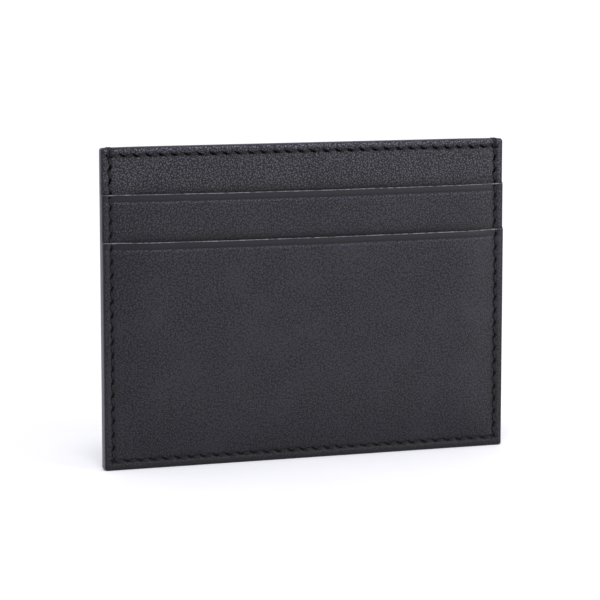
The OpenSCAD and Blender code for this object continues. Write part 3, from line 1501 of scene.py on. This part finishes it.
@dataclass
class PaintWork:
    """All edge paint of the holder."""

    stack: SewnStack
    overlap: float = 0.1
    mouth_turned: float = 0.06

    def side_place(
        self, sign: int
    ) -> Callable[[float], tuple[float, float, float, float]]:
        """Gives the line of a side edge, from its top down and round its lower corner.

        Args:
            sign: -1 for the left edge, 1 for the right one.

        Returns:
            A function from a share of the line to its place and outward direction.
        """
        lay = self.stack.lay
        w = lay.leather_half_w
        r, rt = lay.corner_r - lay.paint, lay.top_corner_r - lay.paint
        straight = lay.leather_top - lay.leather_foot - r - rt
        turns = math.pi / 2 * rt, math.pi / 2 * r
        total = straight + sum(turns)

        def place(share: float) -> tuple[float, float, float, float]:
            """Returns x, z and the outward direction at a share of the line."""
            gone = share * total
            if turns[0] <= gone <= turns[0] + straight:
                return sign * w, lay.leather_top - rt - gone + turns[0], sign, 0.0
            if gone < turns[0]:
                radius, angle, cz = rt, gone / rt - math.pi / 2, lay.leather_top - rt
            else:
                radius, angle = r, (gone - turns[0] - straight) / r
                cz = lay.leather_foot + r
            out_x, out_z = sign * math.cos(angle), -math.sin(angle)
            return sign * (w - radius) + out_x * radius, cz + out_z * radius, out_x, out_z

        return place

    def side_depths(self, share: float) -> tuple[float, float]:
        """Returns the near and far side of a side bead at a share of its line."""
        z = self.side_place(1)(share)[1]
        drop = self.stack.bead_drop
        return self.stack.front_plane(z) + drop, self.stack.lay.y_back - drop

    def level_place(
        self, z: float, half: float, out: int, sag: bool = False
    ) -> Callable[[float], tuple[float, float, float, float]]:
        """Gives a level line from left to right.

        Args:
            z: Its height.
            half: Half its length.
            out: 1 if it looks up, -1 if it looks down.
            sag: Whether it hangs like a pocket's mouth.

        Returns:
            A function from a share of the line to its place and outward direction.
        """

        def place(share: float) -> tuple[float, float, float, float]:
            """Returns x, z and the outward direction at a share of the line."""
            x = -half + 2 * half * share
            return x, z - (self.stack.sag(x) if sag else 0.0), 0.0, out

        return place

    def sheet_depths(
        self,
        near: float,
        far: float,
        half: float,
        z: float,
        depth: float = 0.0,
        floor: float = 0.0,
        side: Side = Side.FRONT,
        turned: float = 0.0,
    ) -> Callable[[float], tuple[float, float]]:
        """Gives the near and far side of a level bead that follows a swollen sheet.

        Args:
            near: Near face of the sheet in the flat stack.
            far: Far face of the sheet in the flat stack.
            half: Half the bead's length.
            z: Its height.
            depth: How far the sheet swells.
            floor: Floor of its pocket.
            side: The way it swells.
            turned: How far the outer face is rounded at this edge.

        Returns:
            A function from a share of the line to the two depths.
        """
        stack = self.stack

        def depths(share: float) -> tuple[float, float]:
            """Returns the two depths at a share of the line."""
            x = -half + 2 * half * share
            moved = side.value * depth * stack.swell(x, z, floor)
            if side is Side.FRONT:
                moved -= stack.ripple(x, z)
                return near + moved + turned, far + moved
            return near + moved, far + moved - turned

        return depths

    def beads(self) -> list[PaintBead]:
        """Returns one bead for each painted edge."""
        stack, lay = self.stack, self.stack.lay
        w, top = lay.leather_half_w, lay.leather_top
        bottom_half = w - (lay.corner_r - lay.paint) + self.overlap
        top_half = w - (lay.top_corner_r - lay.paint) + self.overlap
        drop = stack.bead_drop
        beads = [
            PaintBead(
                f"{side}_edge_bead",
                f"{side}_edge_paint",
                self.side_place(sign),
                self.side_depths,
                along=300,
            )
            for side, sign in (("left", -1), ("right", 1))
        ]
        beads.append(
            PaintBead(
                "bottom_edge_bead",
                "bottom_edge_paint",
                self.level_place(lay.leather_foot, bottom_half, -1),
                lambda share: (lay.y_front + drop, lay.y_back - drop),
                along=100,
            )
        )
        swollen_back = (lay.back_depth, stack.foot, Side.BACK)
        for part, near, far, swell in (
            ("front", lay.y_upper, lay.y_mid, ()),
            ("back", lay.y_mid, lay.y_back, swollen_back),
        ):
            depths = self.sheet_depths(near, far, top_half, top, *swell, turned=drop)
            place = self.level_place(top, top_half, 1)
            stem = f"{part}_top_edge"
            beads.append(
                PaintBead(f"{stem}_bead", f"{stem}_paint", place, depths, 110, cover=0.0)
            )
        for part, mouth, near, far, depth, floor in (
            ("upper", lay.upper_mouth, lay.y_lower, lay.y_upper, lay.upper_depth, lay.upper_floor),
            ("lower", lay.lower_mouth, lay.y_front, lay.y_lower, lay.lower_depth, stack.foot),
        ):
            z = mouth - lay.paint
            depths = self.sheet_depths(near, far, w, z, depth, floor, turned=self.mouth_turned)
            place = self.level_place(z, w, 1, sag=True)
            name, node = f"{part}_mouth_bead", f"{part}_mouth_edge_paint"
            beads.append(PaintBead(name, node, place, depths, 130, cover=0.0))
        return beads

    def build(
        self, paint: bpy.types.Material, mouth_paint_painted_highlight: bpy.types.Material
    ) -> None:
        """Builds and dresses all beads.

        Args:
            paint: Finish of the outer edges.
            mouth_paint_painted_highlight: Finish of the mouths, a lighter paint: a painted
                highlight along their top edges.
        """
        for bead in self.beads():
            # The mouths get the lighter paint: a painted highlight along their top edges.
            takes_painted_highlight = "mouth" in bead.name
            bead.dress(mouth_paint_painted_highlight if takes_painted_highlight else paint, "edge_paint")


# ------------------------------------------------------------------------------ studio


@dataclass
class Studio:
    """The pale floor, the soft light and the camera."""

    camera_place: Point = (-194.42, -556.12, 117.29)
    yaw: float = 19.109
    pitch: float = 7.687
    lens: float = 150.59
    sensor: float = 36.0
    floor_side: float = 60.0
    floor_drop: float = 0.02
    sky_colour: str = "fbfbff"
    world_strength: float = 0.74
    top_strength: float = 1.45
    top_softness: float = 22.0
    top_tilt: float = 22.0
    fill_place: Point = (320.0, -320.0, 150.0)
    fill_size: float = 260.0
    fill_watts: float = 0.74

    def floor(self, material: bpy.types.Material) -> None:
        """Lays the floor just under the holder."""
        bm = bmesh.new()
        bmesh.ops.create_grid(
            bm, x_segments=1, y_segments=1, size=self.floor_side / 2
        )
        bmesh.ops.translate(bm, vec=(0, 0, -self.floor_drop * MM), verts=list(bm.verts))
        mesh = bpy.data.meshes.new("floor")
        bm.to_mesh(mesh)
        bm.free()
        mesh.materials.append(material)
        piece = bpy.data.objects.new("floor", mesh)
        bpy.context.scene.collection.objects.link(piece)

    def lights(self) -> None:
        """Sets the even surrounding light, soft top light and a softbox on the right."""
        world = bpy.data.worlds.new("studio")
        world.use_nodes = True
        sky = world.node_tree.nodes["Background"]
        sky.inputs["Color"].default_value = linear(self.sky_colour)
        sky.inputs["Strength"].default_value = self.world_strength
        bpy.context.scene.world = world
        top = bpy.data.lights.new("top", "SUN")
        top.energy = self.top_strength
        top.angle = math.radians(self.top_softness)
        fill = bpy.data.lights.new("fill", "AREA")
        fill.size = self.fill_size * MM
        fill.energy = self.fill_watts
        out = math.radians(self.top_tilt), math.radians(self.yaw)
        overhead = Vector(
            (
                -math.sin(out[0]) * math.sin(out[1]),
                -math.sin(out[0]) * math.cos(out[1]),
                math.cos(out[0]),
            )
        )
        for data, place in ((top, overhead), (fill, Vector(self.fill_place) * MM)):
            lamp = bpy.data.objects.new(data.name, data)
            lamp.location = place
            aim = Vector((0, 0, 0.04)) - place if data is fill else -place
            lamp.rotation_euler = aim.to_track_quat("-Z", "Y").to_euler()
            bpy.context.scene.collection.objects.link(lamp)

    def camera(self) -> None:
        """Places the camera."""
        data = bpy.data.cameras.new("camera")
        data.lens = self.lens
        data.sensor_width = self.sensor
        data.clip_start, data.clip_end = 0.02, 100.0
        camera = bpy.data.objects.new("camera", data)
        camera.location = Vector(self.camera_place) * MM
        camera.rotation_euler = (
            math.radians(90 - self.pitch),
            0.0,
            math.radians(-self.yaw),
        )
        bpy.context.scene.collection.objects.link(camera)
        bpy.context.scene.camera = camera

    def build(self, paper: bpy.types.Material) -> None:
        """Sets up the studio.

        Args:
            paper: Finish of the floor.
        """
        bpy.context.scene.view_settings.view_transform = "Standard"
        self.floor(paper)
        self.lights()
        self.camera()


def main() -> None:
    """Builds the card holder and its studio in order."""
    logging.basicConfig(level=logging.INFO, format="%(name)s %(message)s")
    stack = SewnStack(Layout.from_frame())
    log.info(
        "stitches across %d, up %d", stack.lay.across_count, stack.lay.up_count
    )
    Studio().build(PaperSweep("white_backdrop_paper").material())
    # Lit and shaded copies of one leather, painted light from above: the front panel is lightest
    # and has the strongest pebble, and the lower pocket is darkest; the lower pocket and the back
    # have the weakest pebble.
    leathers = [
        CalfLeather(f"milled_charcoal_calf_leather_{part}", *sheet_tones_with_painted_light).material()
        for part, *sheet_tones_with_painted_light in (
            ("panel", "121116", "525159", 2.5),
            ("upper", "111015", "3d3c46", 2.2),
            ("lower", "0f0e14", "383741", 1.5),
            ("back", "111015", "3b3a44", 1.5),
        )
    ]
    cloth = TwillLining("twill_woven_viscose_lining").material()
    thread = WaxedThread("twisted_waxed_polyester_thread").material()
    paint = EdgePaint("rolled_acrylic_edge_paint").material()
    # A lighter copy of the paint for the mouths: a painted highlight.
    wear_and_painted_highlight = EdgePaint("acrylic_edge_paint_painted_highlight", colour="34333a", worn_and_painted_highlight="8a8892")
    SheetWork(stack).build(leathers, cloth)
    SeamWork(stack).build(thread)
    PaintWork(stack).build(paint, wear_and_painted_highlight.material())


if __name__ == "__main__":
    main()
